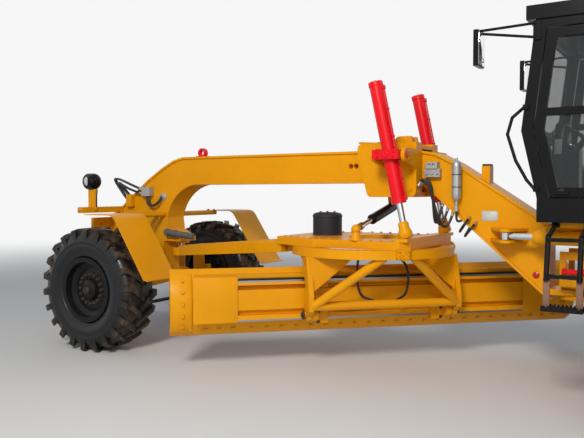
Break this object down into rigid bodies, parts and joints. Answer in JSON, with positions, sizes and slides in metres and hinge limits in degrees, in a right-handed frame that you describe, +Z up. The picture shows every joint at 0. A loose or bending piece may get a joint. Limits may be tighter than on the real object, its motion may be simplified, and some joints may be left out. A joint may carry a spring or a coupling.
{
  "type": "motor grader",
  "caption": "Articulated motor grader: arched front frame, steered leaning front wheels, turning blade circle on a drawbar, tandem-driven rear with cab and hood.",
  "frame": {"origin": "middle of the overall box in plan, on the ground under the tyres", "axes": "+X forward to the nose, +Y to the left side, +Z up"},
  "size_m": [8.96, 3.0942, 3.2],
  "materials": {
    "yellow_paint": "semi-gloss",
    "black_paint": "semi-gloss",
    "red_paint": "gloss",
    "chrome_rod": "polished",
    "grey_paint": "satin",
    "valve_metal": "satin",
    "tyre_rubber": "matt",
    "hose_rubber": "matt",
    "cab_glass": "clear, slightly grey",
    "seat_fabric": "matt"
  },
  "bodies": {
    "rear_frame": {"rear_frame": "yellow_paint", "tandem_cases": "yellow_paint", "cab_frame": "black_paint", "cab_glass": "cab_glass", "seat": "seat_fabric", "cab_console": "black_paint", "hood": "yellow_paint", "engine": "grey_paint", "rear_grille": "black_paint", "ladders": "black_paint", "exhaust": "black_paint", "mirrors": "black_paint"},
    "front_frame": {"front_frame": "yellow_paint", "saddle": "yellow_paint", "lifting_eyes": "red_paint", "front_axle": "yellow_paint", "front_fenders": "yellow_paint", "nose_lamps": "black_paint", "frame_valves": "valve_metal", "frame_hoses": "hose_rubber"},
    "wheel_front_left": {"rim_front_left": "black_paint", "tyre_front_left": "tyre_rubber"},
    "wheel_mid_left": {"rim_mid_left": "black_paint", "tyre_mid_left": "tyre_rubber"},
    "wheel_rear_left": {"rim_rear_left": "black_paint", "tyre_rear_left": "tyre_rubber"},
    "door_left": {"door_left": "black_paint", "door_left_glass": "cab_glass"},
    "wheel_front_right": {"rim_front_right": "black_paint", "tyre_front_right": "tyre_rubber"},
    "wheel_mid_right": {"rim_mid_right": "black_paint", "tyre_mid_right": "tyre_rubber"},
    "wheel_rear_right": {"rim_rear_right": "black_paint", "tyre_rear_right": "tyre_rubber"},
    "door_right": {"door_right": "black_paint", "door_right_glass": "cab_glass"},
    "moldboard": {"moldboard": "yellow_paint", "blade_rails": "chrome_rod"},
    "lean_yoke_left": {"lean_yoke_left": "yellow_paint"},
    "lean_yoke_right": {"lean_yoke_right": "yellow_paint"},
    "knuckle_left": {"knuckle_left": "black_paint"},
    "knuckle_right": {"knuckle_right": "black_paint"},
    "tie_rod": {"tie_rod": "black_paint"},
    "lean_bar": {"lean_bar": "grey_paint"},
    "drawbar_ball": {"drawbar_ball": "chrome_rod"},
    "drawbar": {"drawbar": "yellow_paint"},
    "blade_circle": {"blade_circle": "yellow_paint"},
    "blade_carrier": {"blade_carrier": "yellow_paint"},
    "lift_yoke_left": {"lift_yoke_left": "red_paint"},
    "lift_barrel_left": {"lift_barrel_left": "red_paint"},
    "lift_rod_left": {"lift_rod_left": "chrome_rod"},
    "lift_yoke_right": {"lift_yoke_right": "red_paint"},
    "lift_barrel_right": {"lift_barrel_right": "red_paint"},
    "lift_rod_right": {"lift_rod_right": "chrome_rod"},
    "shift_barrel": {"shift_barrel": "black_paint"},
    "shift_rod": {"shift_rod": "chrome_rod"},
    "artic_barrel_left": {"artic_barrel_left": "yellow_paint"},
    "artic_rod_left": {"artic_rod_left": "chrome_rod"},
    "artic_barrel_right": {"artic_barrel_right": "yellow_paint"},
    "artic_rod_right": {"artic_rod_right": "chrome_rod"}
  },
  "joints": [
    {"name": "articulation", "type": "hinge", "parent": "rear_frame", "child": "front_frame", "pos_m": [-1.08, 0, 1.12], "axis": [0, 0, 1], "range_deg": [-20, 20]},
    {"name": "drawbar_swing", "type": "hinge", "parent": "front_frame", "child": "drawbar_ball", "pos_m": [3.38, 0, 1.04], "axis": [0, 0, 1], "range_deg": [-5, 5]},
    {"name": "drawbar_lift", "type": "hinge", "parent": "drawbar_ball", "child": "drawbar", "pos_m": [3.38, 0, 1.04], "axis": [0, 1, 0], "range_deg": [-12, 3]},
    {"name": "circle_turn", "type": "hinge", "parent": "drawbar", "child": "blade_circle", "pos_m": [0.84, 0, 1.1625], "axis": [0, 0, 1], "continuous": true},
    {"name": "blade_pitch", "type": "hinge", "parent": "blade_circle", "child": "blade_carrier", "pos_m": [0.6316, 0.2158, 0.56], "axis": [0.7193, 0.6947, 0], "range_deg": [-5, 40]},
    {"name": "side_shift", "type": "slide", "parent": "blade_carrier", "child": "moldboard", "axis": [-0.7193, -0.6947, 0], "range_m": [-0.5, 0.5]},
    {"name": "lean_left", "type": "hinge", "parent": "front_frame", "child": "lean_yoke_left", "pos_m": [3.68, 0.7, 0.6139], "axis": [1, 0, 0], "range_deg": [-15, 15]},
    {"name": "lean_right", "type": "hinge", "parent": "front_frame", "child": "lean_yoke_right", "pos_m": [3.68, -0.7, 0.6139], "axis": [1, 0, 0], "range_deg": [-15, 15]},
    {"name": "lean_bar_slide", "type": "slide", "parent": "front_frame", "child": "lean_bar", "axis": [0, 1, 0], "range_m": [-0.09, 0.09]},
    {"name": "steer_left", "type": "hinge", "parent": "lean_yoke_left", "child": "knuckle_left", "pos_m": [3.68, 0.86, 0.6739], "axis": [0, 0, 1], "range_deg": [-38, 38]},
    {"name": "steer_right", "type": "hinge", "parent": "lean_yoke_right", "child": "knuckle_right", "pos_m": [3.68, -0.86, 0.6739], "axis": [0, 0, 1], "range_deg": [-38, 38]},
    {"name": "tie_rod_slide", "type": "slide", "parent": "front_frame", "child": "tie_rod", "axis": [0, 1, 0], "range_m": [-0.15, 0.15]},
    {"name": "wheel_front_left_spin", "type": "hinge", "parent": "knuckle_left", "child": "wheel_front_left", "pos_m": [3.68, 1.045, 0.6739], "axis": [0, 1, 0], "continuous": true},
    {"name": "wheel_mid_left_spin", "type": "hinge", "parent": "rear_frame", "child": "wheel_mid_left", "pos_m": [-2.05, 1.045, 0.6739], "axis": [0, 1, 0], "continuous": true},
    {"name": "wheel_rear_left_spin", "type": "hinge", "parent": "rear_frame", "child": "wheel_rear_left", "pos_m": [-3.59, 1.045, 0.6739], "axis": [0, 1, 0], "continuous": true},
    {"name": "lift_yoke_left_tilt", "type": "hinge", "parent": "front_frame", "child": "lift_yoke_left", "pos_m": [0.42, 0.535, 2.08], "axis": [1, 0, 0], "range_deg": [-21, 21]},
    {"name": "lift_barrel_left_tilt", "type": "hinge", "parent": "lift_yoke_left", "child": "lift_barrel_left", "pos_m": [0.42, 0.535, 2.08], "axis": [0, 1, 0], "range_deg": [-6.5, 2]},
    {"name": "lift_rod_left_slide", "type": "slide", "parent": "lift_barrel_left", "child": "lift_rod_left", "axis": [-0.2141, 0, -0.9768], "range_m": [-0.17, 0.66]},
    {"name": "artic_barrel_left_swing", "type": "hinge", "parent": "rear_frame", "child": "artic_barrel_left", "pos_m": [-1.78, 0.43, 1.355], "axis": [0, 0, 1], "range_deg": [-8, 8]},
    {"name": "artic_rod_left_slide", "type": "slide", "parent": "artic_barrel_left", "child": "artic_rod_left", "axis": [0.9965, -0.0837, 0], "range_m": [-0.135, 0.135]},
    {"name": "door_left_swing", "type": "hinge", "parent": "rear_frame", "child": "door_left", "pos_m": [-1.78, 0.798, 2.35], "axis": [0, 0, 1], "range_deg": [0, 75]},
    {"name": "wheel_front_right_spin", "type": "hinge", "parent": "knuckle_right", "child": "wheel_front_right", "pos_m": [3.68, -1.045, 0.6739], "axis": [0, 1, 0], "continuous": true},
    {"name": "wheel_mid_right_spin", "type": "hinge", "parent": "rear_frame", "child": "wheel_mid_right", "pos_m": [-2.05, -1.045, 0.6739], "axis": [0, 1, 0], "continuous": true},
    {"name": "wheel_rear_right_spin", "type": "hinge", "parent": "rear_frame", "child": "wheel_rear_right", "pos_m": [-3.59, -1.045, 0.6739], "axis": [0, 1, 0], "continuous": true},
    {"name": "lift_yoke_right_tilt", "type": "hinge", "parent": "front_frame", "child": "lift_yoke_right", "pos_m": [0.42, -0.535, 2.08], "axis": [1, 0, 0], "range_deg": [-21, 21]},
    {"name": "lift_barrel_right_tilt", "type": "hinge", "parent": "lift_yoke_right", "child": "lift_barrel_right", "pos_m": [0.42, -0.535, 2.08], "axis": [0, 1, 0], "range_deg": [-6.5, 2]},
    {"name": "lift_rod_right_slide", "type": "slide", "parent": "lift_barrel_right", "child": "lift_rod_right", "axis": [-0.2141, 0, -0.9768], "range_m": [-0.17, 0.66]},
    {"name": "artic_barrel_right_swing", "type": "hinge", "parent": "rear_frame", "child": "artic_barrel_right", "pos_m": [-1.78, -0.43, 1.355], "axis": [0, 0, 1], "range_deg": [-8, 8]},
    {"name": "artic_rod_right_slide", "type": "slide", "parent": "artic_barrel_right", "child": "artic_rod_right", "axis": [0.9965, 0.0837, 0], "range_m": [-0.135, 0.135]},
    {"name": "door_right_swing", "type": "hinge", "parent": "rear_frame", "child": "door_right", "pos_m": [-1.78, -0.798, 2.35], "axis": [0, 0, -1], "range_deg": [0, 75]},
    {"name": "shift_barrel_tilt", "type": "hinge", "parent": "front_frame", "child": "shift_barrel", "pos_m": [0.73, -0.33, 1.6], "axis": [1, 0, 0], "range_deg": [-31, 8]},
    {"name": "shift_rod_slide", "type": "slide", "parent": "shift_barrel", "child": "shift_rod", "axis": [0, 0.9754, -0.2203], "range_m": [-0.23, 0.23]}
  ],
  "couplings": [
    {"joint": "lean_right", "follows": "lean_left", "ratio": 1},
    {"joint": "steer_right", "follows": "steer_left", "ratio": 1},
    {"joint": "lean_bar_slide", "follows": "lean_left", "m_per_rad": -0.336},
    {"joint": "tie_rod_slide", "follows": "steer_left", "m_per_rad": -0.2228},
    {"joint": "lift_yoke_left_tilt", "follows": "drawbar_swing", "ratio": -4.1},
    {"joint": "lift_barrel_left_tilt", "follows": "drawbar_lift", "ratio": 0.493},
    {"joint": "lift_rod_left_slide", "follows": "drawbar_lift", "m_per_rad": -3.09},
    {"joint": "artic_barrel_left_swing", "follows": "articulation", "ratio": 0.383},
    {"joint": "lift_yoke_right_tilt", "follows": "drawbar_swing", "ratio": -4.1},
    {"joint": "lift_barrel_right_tilt", "follows": "drawbar_lift", "ratio": 0.493},
    {"joint": "lift_rod_right_slide", "follows": "drawbar_lift", "m_per_rad": -3.09},
    {"joint": "artic_barrel_right_swing", "follows": "articulation", "ratio": 0.383},
    {"joint": "artic_rod_left_slide", "follows": "articulation", "m_per_rad": -0.3676},
    {"joint": "artic_rod_right_slide", "follows": "articulation", "m_per_rad": 0.3676},
    {"joint": "shift_barrel_tilt", "follows": "drawbar_lift", "ratio": 2.5},
    {"joint": "shift_rod_slide", "follows": "drawbar_swing", "m_per_rad": -2.58}
  ]
}
